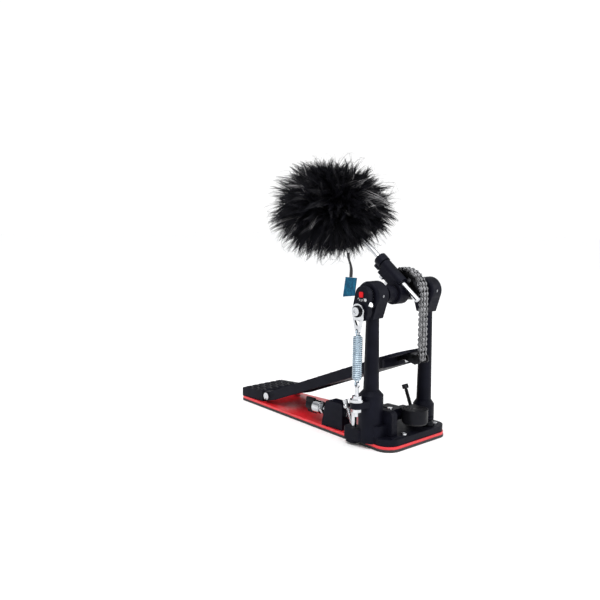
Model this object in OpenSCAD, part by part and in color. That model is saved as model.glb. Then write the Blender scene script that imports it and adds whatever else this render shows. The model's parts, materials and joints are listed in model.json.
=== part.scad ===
// Bass drum pedal with a plush ball beater, double-chain drive and a side spring.
// Origin: on the floor under the drive shaft, midway between the posts.
// +Y points forward to the drum, +X to the spring side, +Z up.

/* [Base] */
// Floor to the top of the rubber sole
rubber_t = 3.2; // [2:0.1:5]
// Thickness of the steel sole plate
plate_t = 3.4; // [2.5:0.1:4]
// Front edge of the sole, ahead of the shaft
front_y = 38.9; // [37:0.1:42]
// Rear edge of the sole, behind the shaft
heel_y = 280; // [275:1:300]
// Half width of the sole at the front on the spring side
front_right_x = 64; // [63:0.5:68]
// Half width of the sole at the front on the other side
front_left_x = 59; // [58:0.5:64]
// Half width of the sole at the heel on the spring side
heel_right_x = 36.4; // [36:0.2:42]
// Half width of the sole at the heel on the other side
heel_left_x = 41.7; // [40:0.2:44]
// Height of the casting's flange
flange_z = 15; // [14:0.5:16]
// Radius of the sole's front corners
front_corner_r = 19; // [12:1:20]

/* [Posts and shaft] */
// Distance from the middle to each post
post_x = 53; // [52:0.5:54]
// Height of the drive shaft
shaft_z = 188; // [186:1:192]
// Radius at the foot of a post
post_foot_r = 9.8; // [9:0.1:10.4]
// Radius at the head of a post
post_head_r = 8.1; // [7.6:0.1:8.6]
// Radius of a bearing housing's head
housing_r = 17.5; // [16:0.5:19]

/* [Beater] */
// Backward lean of the beater rod at rest
lean = 51.9; // [48:0.1:54]
// Radius of the beater rod
rod_r = 3.5; // [3:0.1:4]
// Sideways place of the beater rod
rod_x = 8; // [7:0.5:9]
// Distance from the shaft axis to the rod
rod_n = 15.3; // [15:0.1:16]
// Distance up the rod to the centre of the ball
ball_t = 153; // [140:1:160]
// Radius of the plush ball across
ball_r = 79; // [60:1:80]
// Radius of the plush ball up and down
ball_rz = 67; // [55:1:70]

/* [Footboard] */
// Slope of the footboard at rest
board_slope = 21.65; // [21:0.05:22]
// Length from the heel pin to the toe
board_len = 261; // [255:0.5:261]
// Half width of the footboard
board_half_w = 37; // [36:0.5:37]

/* [Chain] */
// Teeth on the sprocket
teeth = 29; // [29:1:29]
// Chain pitch
pitch = 6.35; // [6.35:0.01:6.35]
// Sideways place of the chain
chain_x = -8; // [-9:0.5:-8]

/* [Spring] */
// Sideways place of the spring
spring_x = 79; // [78:0.5:80]
// Distance from the shaft axis down to the rocker's pivot
rocker_drop = 17.5; // [17:0.5:18]

/* [Hidden] */

$fn = 64;
sole_z = rubber_t + plate_t;
pin_y = -219.6;
pin_z = 17.4;
pin_r = 3;
run_fit = 0.05;
pitch_r = pitch / (2 * sin(180 / teeth));
pitch_angle = 360 / teeth;
run_links = 13;
board_top = 5;
board_skin = 3.6;
board_depth = 14;
flange_t = 3.4;
toe_r = 22;
housing_in = 42;
housing_out = 64;
housing_drop = 28;
shaft_r = 4;
hex_r = 5.8;
rotor_r = 10;
bearing_r = 11;
bearing_w = 7;
right_boss_z = 70.8;
left_boss_z = 41;
right_boss_r = 15.3;
left_boss_r = 14;
tenon_r = 7;
lever_y = 2;
lever_z = 30;
jaw_x = -4;
jaw_y = 24;
jaw_r = 16.5;
jaw_bottom = 25;
jaw_top = 42;
wing_x = 44;
wing_z = 27;
key_x = 61;
key_y = -20.5;
key_r = 3.3;
eye_z = 81;
loop_z = 147.5;
hook_r = 3;
wire_r = 0.8;
rocker_in = 65.5;
rocker_out = 76;
spur_tilt = 22;
spur_r = 2.8;
black = [0.08, 0.08, 0.10];
chrome = [0.80, 0.81, 0.83];
// Route of the ribbon from the ball down to the tag
ribbon_r = 1.7;
ribbon_path = [[22, -72, 236], [22, -72, 235.2], [22.3, -71.6, 234], [22.6, -71, 232],
               [22.9, -70.3, 230], [23, -69.6, 228], [23, -69, 226], [22.8, -68.4, 224],
               [22.5, -68, 222], [22.2, -67.6, 220], [22, -67.3, 218], [21.8, -67, 216],
               [21.7, -66.8, 214], [21.8, -66.6, 212], [21.9, -66.5, 210], [22, -66.5, 208],
               [22, -66.5, 206], [22, -66.5, 204]];

// ---------- outlines ----------
function unit(v) = v / norm(v);
function arc_points(c, r, from, turn, n) =
    [for (i = [0:n]) c + r * [cos(from + turn * i / n), sin(from + turn * i / n)]];
function corner_arc(a, b, c, r) =
    let (u = unit(a - b), v = unit(c - b), half = acos(u * v) / 2,
         m = b + unit(u + v) * r / sin(half),
         s = b + u * r / tan(half) - m, e = b + v * r / tan(half) - m,
         a0 = atan2(s[1], s[0]), a1 = atan2(e[1], e[0]),
         turn = (a1 - a0 + 900) % 360 - 180)
    arc_points(m, r, a0, turn, max(3, ceil(abs(turn) / 9)));
// A closed outline whose corner i is rounded with radius radii[i]
function rounded(points, radii) =
    let (n = len(points))
    [for (i = [0:n - 1])
        for (p = radii[i] > 0
            ? corner_arc(points[(i + n - 1) % n], points[i], points[(i + 1) % n], radii[i])
            : [points[i]]) p];
// Two circles, the second straight below the first, joined by their tangents
module link_2d(r1, r2, drop) {
    t = asin((r1 - r2) / drop);
    side = [cos(t), -sin(t)];
    other = [-cos(t), -sin(t)];
    circle(r = r1);
    translate([0, -drop]) circle(r = r2);
    polygon([(r1 - 0.02) * side, (r1 - 0.02) * other,
             [0, -drop] + (r2 - 0.02) * other, [0, -drop] + (r2 - 0.02) * side]);
}
// An outline drawn in Y and Z, extruded along X
module along_x(x0, x1) {
    translate([x0, 0, 0]) rotate([90, 0, 90]) linear_extrude(x1 - x0) children();
}
module x_cyl(x0, x1, r) {
    translate([x0, 0, 0]) rotate([0, 90, 0]) cylinder(h = x1 - x0, r = r);
}
module y_cyl(y0, y1, r) {
    translate([0, y1, 0]) rotate([90, 0, 0]) cylinder(h = y1 - y0, r = r);
}
module at_shaft() { translate([0, 0, shaft_z]) children(); }
// Frame of the beater rod: +Z up the rod, +Y forward and up from the shaft axis
module at_rod() { translate([rod_x, 0, shaft_z]) rotate([lean, 0, 0]) children(); }
// Frame of the footboard: +Y along the board from the heel pin, +Z out of its top
module at_board() { translate([0, pin_y, pin_z]) rotate([board_slope, 0, 0]) children(); }

// ---------- base ----------
module sole_outline(inset) {
    r = front_corner_r - inset;
    polygon(rounded([[-front_left_x + inset, front_y - inset],
                     [front_right_x - inset, front_y - inset],
                     [heel_right_x - inset, -heel_y + inset],
                     [-heel_left_x + inset, -heel_y + inset]], [r, r, 3, 3]));
}
module key_lump_2d(grow) {
    translate([key_x, key_y]) polygon(rounded(
        [[-9 - grow, -9 - grow], [8.5 + grow, -9 - grow], [8.5 + grow, 9 + grow],
         [-9 - grow, 9 + grow]], [6, 6, 6, 6]));
}
sole_screw_places = [[-40, 18], [30, 33], [-40, -26], [30, -26], [-30, -250], [26, -250],
                     [-30, -270], [26, -270]];
module sole_rubber() {
    color([0.06, 0.06, 0.06]) difference() {
        linear_extrude(rubber_t) difference() {
            sole_outline(0);
            key_lump_2d(0.2);
        }
        for (p = sole_screw_places) translate([p[0], p[1], -1]) cylinder(h = 10, r = 4.6);
        for (side = [-1, 1]) spur_hole(side, 3.6);
    }
}
module sole_plate() {
    color([0.75, 0.03, 0.06]) difference() {
        translate([0, 0, rubber_t]) linear_extrude(plate_t) difference() {
            sole_outline(0.3);
            key_lump_2d(0.2);
        }
        for (p = sole_screw_places) translate([p[0], p[1], 0]) cylinder(h = 10, r = 2.5);
        for (side = [-1, 1]) spur_hole(side, 3.6);
    }
}
module sole_screws() {
    color(chrome) for (p = sole_screw_places) translate([p[0], p[1], 0]) {
        translate([0, 0, rubber_t]) cylinder(h = 7, r = 2.5);
        translate([0, 0, 1]) cylinder(h = rubber_t - 1, r = 4.4);
    }
}
module boss(r, top, foot) {
    shoulder = 5.5;
    translate([0, 0, foot]) cylinder(h = top - foot - shoulder, r = r);
    translate([0, 0, top - shoulder]) cylinder(h = shoulder, r1 = r, r2 = post_foot_r + 0.6);
}
module base_casting() {
    yoke_front = 28;
    color(black) difference() {
        union() {
            translate([0, 0, sole_z]) linear_extrude(flange_z - sole_z) intersection() {
                sole_outline(1.2);
                translate([-80, -36]) square([160, 120]);
            }
            translate([0, 0, flange_z]) linear_extrude(14)
                polygon(rounded([[39, -14], [62, -14], [62, 20], [39, 20]], [5, 6, 7, 5]));
            translate([0, 0, flange_z]) linear_extrude(5)
                polygon(rounded([[-57, -16], [-38, -16], [-38, 17], [-57, 17]], [5, 5, 5, 6]));
            along_x(35.5, 45.5) polygon(rounded([[-6, flange_z], [yoke_front, flange_z],
                [yoke_front, 46.5], [-6, 46.5]], [0, 0, 7, 4]));
            along_x(-34.5, -26) polygon(rounded([[-8, flange_z], [12, flange_z],
                [10, 37], [-6, 37]], [0, 0, 5, 5]));
            translate([post_x, 0, 0]) boss(right_boss_r, right_boss_z, sole_z);
            translate([-post_x, 0, 0]) boss(left_boss_r, left_boss_z, sole_z);
            translate([0, 0, rubber_t - 0.4]) linear_extrude(8) key_lump_2d(0);
            translate([key_x, key_y, sole_z]) linear_extrude(15) polygon(rounded(
                [[-9, -12], [8.5, -12], [8.5, 18], [-9, 18]], [6, 6, 4, 4]));
            translate([0, 0, flange_z]) linear_extrude(1.6)
                polygon(rounded([[22, 29.5], [52, 29.5], [52, 36], [22, 36]], [2, 2, 3, 3]));
        }
        translate([post_x, 0, 22]) cylinder(h = 60, r = tenon_r);
        translate([-post_x, 0, 22]) cylinder(h = 60, r = tenon_r);
        translate([0, lever_y, lever_z]) x_cyl(-60, 60, pin_r);
        translate([key_x, key_y, 11]) cylinder(h = 30, r = key_r + 0.15);
        for (p = sole_screw_places) if (p[1] > -40)
            translate([p[0], p[1], 0]) cylinder(h = 10.2, r = 2.5);
        for (side = [-1, 1]) spur_hole(side, 3.1);
        for (p = casting_screw_places) translate([p[0], p[1], p[2] - 4]) cylinder(h = 40, r = 2);
        translate([62, 26, 0]) cube([4, 2, 20]);
    }
}
casting_screw_places = [[28, 32.8, flange_z + 1.6], [-42, 27, flange_z]];
module flange_plug() {
    color([0.05, 0.05, 0.05]) translate([-30, 25.5, flange_z]) rotate_extrude()
        polygon(rounded([[0, 0], [7.5, 0], [7.5, 6.5], [0, 6.5]], [0, 0, 3, 0]));
}
module casting_screws() {
    color(chrome) for (p = casting_screw_places) translate(p) {
        translate([0, 0, -4]) cylinder(h = 4, r = 2);
        difference() {
            cylinder(h = 2.2, r = 3.4);
            translate([0, 0, 1]) cylinder(h = 5, r = 1.8, $fn = 6);
        }
    }
}

// ---------- posts, housings, bearings ----------
housing_tail_z = shaft_z - housing_drop;
module post(side, boss_top) {
    color(black) translate([side * post_x, 0, 0]) {
        translate([0, 0, boss_top])
            cylinder(h = housing_tail_z - boss_top, r1 = post_foot_r, r2 = post_head_r);
        translate([0, 0, 22]) cylinder(h = boss_top - 22, r = tenon_r);
        translate([0, 0, housing_tail_z]) cylinder(h = 8, r = 6);
    }
}
module right_post() post(1, right_boss_z);
module left_post() post(-1, left_boss_z);
// Bearing housing, drawn for the side where X is positive
module housing() {
    round_r = 3.5;
    half = (housing_out - housing_in) / 2;
    mid = (housing_out + housing_in) / 2;
    tail_w = 8.6;
    d = norm([tail_w, housing_drop]);
    a = atan2(-housing_drop, tail_w) + acos((housing_r - 0.6) / d);
    difference() {
        union() {
            translate([mid, 0, shaft_z]) rotate([0, 90, 0]) rotate_extrude()
                polygon(rounded([[0, -half], [housing_r, -half], [housing_r, half], [0, half]],
                                [0, round_r, round_r, 0]));
            at_shaft() along_x(housing_in + 1.5, housing_out - 1.5)
                polygon([[tail_w, -housing_drop], (housing_r - 0.6) * [cos(a), sin(a)],
                         (housing_r - 0.6) * [-cos(a), sin(a)], [-tail_w, -housing_drop]]);
        }
        at_shaft() x_cyl(housing_in - 1, housing_in + bearing_w + 2, bearing_r);
        at_shaft() x_cyl(housing_out - bearing_w - 2, housing_out + 1, bearing_r);
        at_shaft() x_cyl(housing_in - 1, housing_out + 1, 8);
        translate([post_x, 0, housing_tail_z - 1]) cylinder(h = 9, r = 6);
        translate([post_x, 0, shaft_z]) y_cyl(8, 30, 1.8);
    }
}
module right_housing() color(black) housing();
module left_housing() color(black) mirror([1, 0, 0]) housing();
module bearing_pair() {
    for (x = [housing_in + 2, housing_out - bearing_w - 2]) at_shaft() difference() {
        x_cyl(x, x + bearing_w, bearing_r);
        x_cyl(x - 1, x + bearing_w + 1, shaft_r + run_fit);
        translate([0, 0, 0]) for (e = [x - 0.6, x + bearing_w - 0.6]) difference() {
            x_cyl(e, e + 1.2, 9.3);
            x_cyl(e - 1, e + 3, 6.2);
        }
    }
}
module right_bearing() color([0.6, 0.62, 0.65]) bearing_pair();
module left_bearing() color([0.6, 0.62, 0.65]) mirror([1, 0, 0]) bearing_pair();
module housing_screws() {
    color([0.5, 0.5, 0.52]) for (side = [-1, 1]) translate([side * post_x, 0, shaft_z])
        difference() {
            y_cyl(11.2, 17, 1.8);
            translate([0, 16, 0]) rotate([-90, 0, 0]) cylinder(h = 3, r = 1, $fn = 6);
        }
}

// ---------- heel ----------
module heel_plate() {
    heel_front = -231;
    wall = 3;
    color(black) difference() {
        union() {
            along_x(-heel_left_x + 0.4, heel_right_x - 0.3)
                polygon(rounded([[-heel_y + 0.3, sole_z], [heel_front, sole_z],
                    [heel_front, 23.4], [-heel_y + 0.3, 20.2]], [0, 0, 2.5, 3]));
            for (x = [[-33, -24], [24, 33]]) along_x(x[0], x[1]) {
                translate([pin_y, pin_z]) circle(r = 6.6);
                polygon([[heel_front - 1, 10.8], [pin_y, 10.8], [pin_y, 22], [heel_front - 1, 22]]);
            }
            for (row = [0:5]) for (col = [0:5])
                translate([-34.5 + col * 12 + (row % 2) * 4, -274.5 + row * 7.6, 20.2])
                    multmatrix([[1, 0, 0, 0], [0, 1, 0, 0], [0, 0.066, 1, row * 0.5], [0, 0, 0, 1]])
                        cube([7, 2.6, 1.4]);
        }
        along_x(-heel_left_x + wall + 1, -heel_left_x + wall + 22)
            polygon([[-heel_y + 5, 0], [heel_front - wall, 0], [heel_front - wall, 19],
                     [-heel_y + 5, 16.4]]);
        along_x(-10, 12) polygon([[-heel_y + 5, 0], [heel_front - wall, 0],
            [heel_front - wall, 19], [-heel_y + 5, 16.4]]);
        translate([0, pin_y, pin_z]) x_cyl(-60, 60, pin_r);
        for (p = sole_screw_places) if (p[1] < -40)
            translate([p[0], p[1], 0]) cylinder(h = 10.2, r = 2.5);
    }
}
module heel_pin() {
    color(chrome) translate([0, pin_y, pin_z]) {
        x_cyl(-board_half_w - 2.4, board_half_w + 2.4, pin_r);
        for (side = [-1, 1]) translate([side * (board_half_w + 1.6), 0, 0]) difference() {
            x_cyl(-0.6, 0.6, 5.4);
            translate([-2, -1.4, -8]) cube([4, 2.8, 6]);
        }
    }
}

// ---------- footboard ----------
module board_outline(inset) {
    polygon(rounded([[-board_half_w + inset, 10], [board_half_w - inset, 10],
                     [board_half_w - inset, board_len - inset],
                     [-board_half_w + inset, board_len - inset]],
                    [0, 0, toe_r, toe_r]));
}
// The closed underside below the toe, from its open end to its front wall
toe_floor_y = 125;
board_floor_end = 230;
module footboard() {
    low = board_top - board_depth;
    end_r = 7;
    color(black) at_board() difference() {
        union() {
            translate([0, 0, board_top - board_skin]) linear_extrude(board_skin) board_outline(0);
            for (x = [-board_half_w, board_half_w - flange_t]) along_x(x, x + flange_t) {
                circle(r = end_r);
                polygon(rounded([[0, -end_r], [16, low], [board_len - toe_r - 2, low],
                    [board_len - toe_r + 2, board_top - 1], [10, board_top], [0, end_r]],
                    [0, 0, 3, 0, 0, 0]));
            }
            for (row = [0:17]) for (col = [-1:1])
                translate([col * 20 - 6.5 + (row % 2) * 3, 24 + row * 12, board_top - 0.5])
                    cube([11, 2.6, 1.5]);
            along_x(-board_half_w + 1, board_half_w - 1)
                polygon([[96, board_top - board_skin], [100, low + 6], [103, low + 6],
                         [107, board_top - board_skin]]);
            along_x(-board_half_w + 1, board_half_w - 1)
                polygon([[toe_floor_y, low], [board_floor_end, low],
                         [board_floor_end, board_top - board_skin],
                         [board_floor_end - board_skin, board_top - board_skin],
                         [board_floor_end - board_skin, low + board_skin],
                         [toe_floor_y, low + board_skin]]);
        }
        x_cyl(-60, 60, pin_r + run_fit);
        for (y = bracket_bolt_y) translate([chain_x, y, -20]) cylinder(h = 24, r = 2);
    }
}
bracket_bolt_y = [240, 250];
// The chain's lowest joint, in the footboard's own frame
toe_joint = let (y = pitch_r - pin_y, z = shaft_z - 13 * pitch - pin_z)
    [y * cos(board_slope) + z * sin(board_slope), z * cos(board_slope) - y * sin(board_slope)];
module chain_bracket() {
    cheek_in = 7.4;
    cheek_out = 9.2;
    color([0.16, 0.16, 0.18]) at_board() translate([chain_x, 0, 0]) difference() {
        union() {
            translate([-cheek_out, 233, -4]) cube([2 * cheek_out, 23, board_top - board_skin + 4]);
            translate([0, toe_joint[0], toe_joint[1]]) x_cyl(-cheek_out, cheek_out, pin_rad);
            for (x = [[-cheek_out, -cheek_in], [cheek_in, cheek_out]]) along_x(x[0], x[1])
                polygon(rounded([[244, -4], [258, -14.5], [268, -14.5], [268, -6], [256, 0],
                    [244, 0]], [0, 3, 3.5, 3, 0, 0]));
        }
        for (y = bracket_bolt_y) translate([0, y, -20]) cylinder(h = 40, r = 2);
    }
}
module bracket_bolts() {
    color(chrome) at_board() for (y = bracket_bolt_y) translate([chain_x, y, 0]) {
        translate([0, 0, -8]) cylinder(h = 4, r = 3.6, $fn = 6);
        translate([0, 0, -4]) cylinder(h = 8, r = 2);
    }
}

// ---------- drive shaft, sprocket and chain ----------
module drive_shaft() {
    color([0.55, 0.56, 0.58]) at_shaft() {
        rotate([0, 90, 0]) translate([0, 0, -36]) cylinder(h = 72, r = hex_r, $fn = 6);
        x_cyl(-housing_out + 2, rocker_out - 2, shaft_r);
    }
}
module shaft_collars() {
    color(black) at_shaft() for (side = [-1, 1]) mirror([side < 0 ? 1 : 0, 0, 0]) difference() {
        union() {
            x_cyl(19, 33, 10.5);
            x_cyl(33, 36, 8.5);
            x_cyl(36, housing_in - 0.6, 9.6);
        }
        rotate([0, 90, 0]) translate([0, 0, -1]) cylinder(h = 37, r = hex_r, $fn = 6);
        x_cyl(30, housing_in + 2, shaft_r);
    }
}
// The toothed sector ends this far below the shaft
sector_low = 5;
module sprocket() {
    web_r = pitch_r - 3.1;
    tip_r = pitch_r + 0.45;
    color([0.10, 0.10, 0.11]) at_shaft() difference() {
        union() {
            difference() {
                union() {
                    x_cyl(chain_x - 6.4, chain_x + 6.4, web_r);
                    for (x = [-3.9, 2.2]) x_cyl(chain_x + x, chain_x + x + 1.7, tip_r);
                }
                translate([-40, -40, -40]) cube([80, 80, 40 - sector_low]);
            }
            x_cyl(chain_x - 10.5, 17.8, rotor_r);
        }
        for (k = [0:teeth - 1]) rotate([k * pitch_angle, 0, 0]) translate([0, pitch_r, 0])
            x_cyl(chain_x - 6, chain_x + 6, 1.95);
        for (x = [chain_x - 7, chain_x + 4.4]) difference() {
            x_cyl(x, x + 2.6, web_r - 4);
            x_cyl(x - 1, x + 4, 14);
        }
        for (k = [1, 2]) rotate([k * 60, 0, 0]) translate([0, 18.2, 0])
            x_cyl(chain_x - 10, chain_x + 10, 3.2);
        rotate([0, 90, 0]) translate([0, 0, -40]) cylinder(h = 80, r = hex_r, $fn = 6);
    }
}
plate_r = 2.75;
pin_rad = 1.15;
bush_r = 1.65;
// One chain link, from its upper joint at the origin down to its lower joint
module chain_link(outer, joints = [0, -pitch]) {
    outer_plates = [[-6.5, -5.5], [-0.6, 0.6], [5.5, 6.5]];
    inner_plates = [[-5.3, -4.2], [-1.9, -0.8], [0.8, 1.9], [4.2, 5.3]];
    plates = outer ? outer_plates : inner_plates;
    for (p = plates) along_x(chain_x + p[0], chain_x + p[1]) difference() {
        link_2d(plate_r, plate_r, pitch);
        if (!outer) for (z = [0, -pitch]) translate([0, z]) circle(r = pin_rad + run_fit);
    }
    for (z = joints) translate([0, 0, z])
        if (outer) x_cyl(chain_x - 7, chain_x + 7, pin_rad);
        else for (s = [[-4.2, -1.9], [1.9, 4.2]]) difference() {
            x_cyl(chain_x + s[0], chain_x + s[1], bush_r);
            x_cyl(chain_x + s[0] - 1, chain_x + s[1] + 1, pin_rad + run_fit);
        }
}
// Joint k of the chain lies on the pitch circle, k teeth above the take-off point
module wrapped_link(k) {
    at_shaft() rotate([(k + 1) * pitch_angle, 0, 0]) translate([0, pitch_r, 0])
        rotate([-pitch_angle / 2, 0, 0]) chain_link(k % 2 == 0, k == 0 ? [0] : [0, -pitch]);
}
module chain_wrap() color([0.5, 0.5, 0.52]) for (k = [4:8]) wrapped_link(k);
module chain_link_1() color([0.5, 0.5, 0.52]) wrapped_link(0);
module chain_link_2() color([0.5, 0.5, 0.52]) wrapped_link(1);
module chain_link_3() color([0.5, 0.5, 0.52]) wrapped_link(2);
module chain_link_4() color([0.5, 0.5, 0.52]) wrapped_link(3);
module chain_run() {
    color([0.5, 0.5, 0.52]) at_shaft() for (i = [0:run_links - 1])
        translate([0, pitch_r, -i * pitch]) chain_link(i % 2 == 1);
}

// ---------- rocker, stirrup and spring ----------
rocker_top = [2.5, 2];
rocker_dot_y = 1.9;
rocker_dot_z = 2.4;
module dot_2d(half) {
    translate([rocker_dot_y, rocker_dot_z]) polygon(rounded(
        [[-half, -half - 0.3], [half, -half - 0.3], [half, half + 0.3], [-half, half + 0.3]],
        [1.4, 1.4, 1.4, 1.4]));
}
module dome_screw() {
    translate([rocker_in + 7, 11.4, -10]) rotate([20, 0, 0]) y_cyl(0, 3.5, 3);
}
module rocker() {
    color(black) at_shaft() difference() {
        union() {
            along_x(rocker_in + 3, rocker_out) translate(rocker_top)
                rotate(-atan(rocker_top[0] / (rocker_top[1] + rocker_drop)))
                    link_2d(10.5, 12.5, norm(rocker_top + [0, rocker_drop]));
            x_cyl(rocker_in, rocker_in + 4, 11.5);
        }
        x_cyl(0, rocker_out - 2, shaft_r);
        translate([0, 0, -rocker_drop]) x_cyl(rocker_in + 5, 100, 2.5);
        along_x(rocker_out - 1, 100) dot_2d(3.2);
        dome_screw();
        for (p = rocker_screw_places) translate([0, p[0], p[1]]) x_cyl(rocker_out - 5, 100, 1.5);
    }
}
rocker_screw_places = [[9.2, -3.5]];
module rocker_dot() {
    color([0.8, 0.05, 0.05]) at_shaft() along_x(rocker_out - 1, rocker_out + 0.8) dot_2d(3.1);
}
module rocker_screws() {
    color(chrome) at_shaft() {
        for (p = rocker_screw_places) translate([0, p[0], p[1]]) {
            x_cyl(rocker_out - 5, rocker_out, 1.5);
            x_cyl(rocker_out, rocker_out + 0.9, 1.9);
        }
        dome_screw();
    }
}
module at_pivot() { translate([0, 0, shaft_z - rocker_drop]) children(); }
module rocker_pin() {
    color(chrome) at_pivot() {
        x_cyl(rocker_in + 5, rocker_out + 1, 2.5);
        x_cyl(rocker_out, rocker_out + 0.8, 5);
        x_cyl(rocker_out + 0.8, rocker_out + 6.2, 3.5);
        difference() {
            x_cyl(rocker_out + 6.2, rocker_out + 8.4, 5.4);
            x_cyl(rocker_out + 7.2, rocker_out + 9, 2.6);
        }
    }
}
stirrup_in = rocker_out + 1;
module stirrup_bearing() {
    color([0.12, 0.12, 0.13]) at_pivot() difference() {
        x_cyl(stirrup_in, stirrup_in + 5, 7.2);
        x_cyl(stirrup_in - 1, stirrup_in + 6, 3.5 + run_fit);
    }
}
module stirrup() {
    drop = shaft_z - rocker_drop - loop_z;
    color(chrome) at_pivot() {
        along_x(spring_x - 1.5, spring_x + 1.5) difference() {
            link_2d(9.4, 3.8, drop);
            translate([0, -drop]) circle(r = 2);
            circle(r = 7.2);
            polygon([[-4.6, -10.8], [4.6, -10.8], [1.2, -drop + 5.4], [-1.2, -drop + 5.4]]);
        }
    }
}
module spring() {
    low = eye_z + 6.6;
    high = loop_z - 6.6;
    taper = 5;
    color([0.55, 0.62, 0.72]) translate([spring_x, 0, 0]) {
        rotate_extrude() polygon([[1.6, low], [3.6, low], [6.1, low + taper],
            [6.1, high - taper], [3.6, high], [1.6, high], [4.4, high - taper],
            [4.4, low + taper]]);
        for (z = [eye_z + hook_r, loop_z - hook_r]) translate([0, 0, z])
            rotate([90, 0, 0]) rotate_extrude() translate([hook_r, 0]) circle(r = wire_r, $fn = 24);
    }
}
bracket_z = 60;
bracket_t = 8;
rod_thread_r = 2.5;
module tension_rod() {
    color(chrome) translate([spring_x, 0, 0]) {
        difference() {
            union() {
                translate([0, 0, eye_z]) x_cyl(-1.5, 1.5, 3.8);
                translate([0, 0, 42]) cylinder(h = eye_z - 2.6 - 42, r = rod_thread_r);
            }
            translate([0, 0, eye_z]) x_cyl(-5, 5, 2);
        }
    }
}
module spring_bracket() {
    color(black) difference() {
        translate([0, 0, bracket_z - bracket_t]) linear_extrude(bracket_t) {
            translate([spring_x, 0]) circle(r = 7.6);
            polygon([[post_x + 8, -9.5], [spring_x, -7.6], [spring_x, 7.6], [post_x + 8, 9.5]]);
        }
        translate([post_x, 0, 0]) cylinder(h = 100, r = right_boss_r);
        translate([spring_x, 0, 0]) cylinder(h = 100, r = rod_thread_r + 0.4);
    }
}
module tension_nut() {
    color(chrome) translate([spring_x, 0, bracket_z + 0.3]) difference() {
        union() {
            cylinder(h = 3.2, r = 8.3);
            translate([0, 0, 3.2]) cylinder(h = 4.2, r = 5.8, $fn = 6);
        }
        translate([0, 0, -1]) cylinder(h = 20, r = rod_thread_r + run_fit);
    }
}
module lock_nut() {
    color(chrome) translate([spring_x, 0, bracket_z - bracket_t - 4.5]) difference() {
        cylinder(h = 4.2, r = 5.8, $fn = 6);
        translate([0, 0, -1]) cylinder(h = 20, r = rod_thread_r + run_fit);
    }
}

// ---------- beater ----------
hub_top = 38;
module beater_hub() {
    color(black) at_rod() difference() {
        union() {
            x_cyl(-7.4, 9.4, 14);
            translate([0, rod_n, 1]) cylinder(h = hub_top - 1, r = 7.6);
            translate([-7.4, 3, 0]) cube([14.8, rod_n - 3, hub_top - 2]);
        }
        x_cyl(-20, 20, rotor_r + run_fit);
        translate([0, rod_n, -40]) cylinder(h = 100, r = rod_r + run_fit);
        for (t = hub_screw_t) translate([0, -10, t]) y_cyl(0, 16, 2);
    }
}
hub_screw_t = [20, 31];
module hub_screws() {
    color(chrome) at_rod() for (t = hub_screw_t) {
        translate([0, 0, t]) y_cyl(0, 6, 2);
        translate([-2.4, -3.2, t - 2.4]) cube([4.8, 6.2, 4.8]);
    }
}
module memory_collar() {
    color(black) at_rod() translate([0, rod_n, hub_top + 1]) difference() {
        union() {
            cylinder(h = 10, r = 8.6);
            translate([-4, -12, 1]) cube([8, 8, 8]);
        }
        translate([0, 0, -1]) cylinder(h = 20, r = rod_r);
    }
}
module beater_rod() {
    color(chrome) at_rod() translate([0, rod_n, -30]) {
        cylinder(h = ball_t + 30, r = rod_r);
    }
}
core_r = 24;
core_half = 20;
module beater_core() {
    color([0.7, 0.68, 0.6]) at_rod() translate([0, rod_n, ball_t]) difference() {
        y_cyl(-core_half, core_half, core_r);
        translate([0, 0, -60]) cylinder(h = 60, r = rod_r);
    }
}
module fur_cover() {
    steps = 24;
    color([0.12, 0.12, 0.13]) at_rod() translate([0, rod_n, ball_t]) difference() {
        rotate([-lean, 0, 0]) rotate_extrude($fn = 96) polygon(
            [for (i = [0:steps]) let (a = 180 * i / steps - 90)
                [i == 0 || i == steps ? 0 : ball_r * cos(a), ball_rz * sin(a)]]);
        y_cyl(-core_half, core_half, core_r);
        translate([0, 0, -ball_r - 5]) cylinder(h = ball_r + 5, r = rod_r);
    }
}
// A tube of eight sides swept along a list of points
module tube(path, r) {
    n = len(path);
    sides = 8;
    rings = [for (i = [0:n - 1])
        let (d = unit(path[min(i + 1, n - 1)] - path[max(i - 1, 0)]),
             u = unit(cross(d, [1, 0, 0])), v = cross(d, u))
        for (s = [0:sides - 1])
            path[i] + r * (cos(s * 360 / sides) * u + sin(s * 360 / sides) * v)];
    polyhedron(rings, concat(
        [for (i = [0:n - 2]) for (s = [0:sides - 1])
            [i * sides + s, (i + 1) * sides + s, (i + 1) * sides + (s + 1) % sides,
             i * sides + (s + 1) % sides]],
        [[for (s = [0:sides - 1]) s]],
        [[for (s = [0:sides - 1]) (n - 1) * sides + sides - 1 - s]]));
}
module ribbon() color([0.03, 0.03, 0.03]) tube(ribbon_path, ribbon_r);
module swing_tag() {
    color([0.05, 0.31, 0.44]) along_x(21.2, 22.8)
        polygon([[-76, 204], [-55.5, 204], [-59, 180], [-80.5, 177]]);
}

// ---------- hoop clamp ----------
module at_lever() { translate([0, lever_y, lever_z]) children(); }
module clamp_pin() {
    color([0.55, 0.56, 0.58]) at_lever() x_cyl(-34.5, 45.5, pin_r);
}
module clamp_lever() {
    color(black) difference() {
        union() {
            at_lever() x_cyl(-25.4, 34.9, 6);
            translate([jaw_x - 9, -28, 31]) cube([18, 52, 6]);
            translate([jaw_x - 9, -3, 33]) cube([47.5, 9, 7]);
        }
        at_lever() x_cyl(-60, 60, pin_r + run_fit);
        translate([jaw_x, jaw_y, 0]) cylinder(h = 100, r = jaw_r);
        for (x = lever_screw_x) translate([x, 1.5, 37]) cylinder(h = 10, r = 1.8);
    }
}
lever_screw_x = [18, 28];
module lever_screws() {
    color(chrome) for (x = lever_screw_x) translate([x, 1.5, 37]) {
        cylinder(h = 3, r = 1.8);
        translate([0, 0, 3]) cylinder(h = 2.4, r = 3.2);
    }
}
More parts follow.
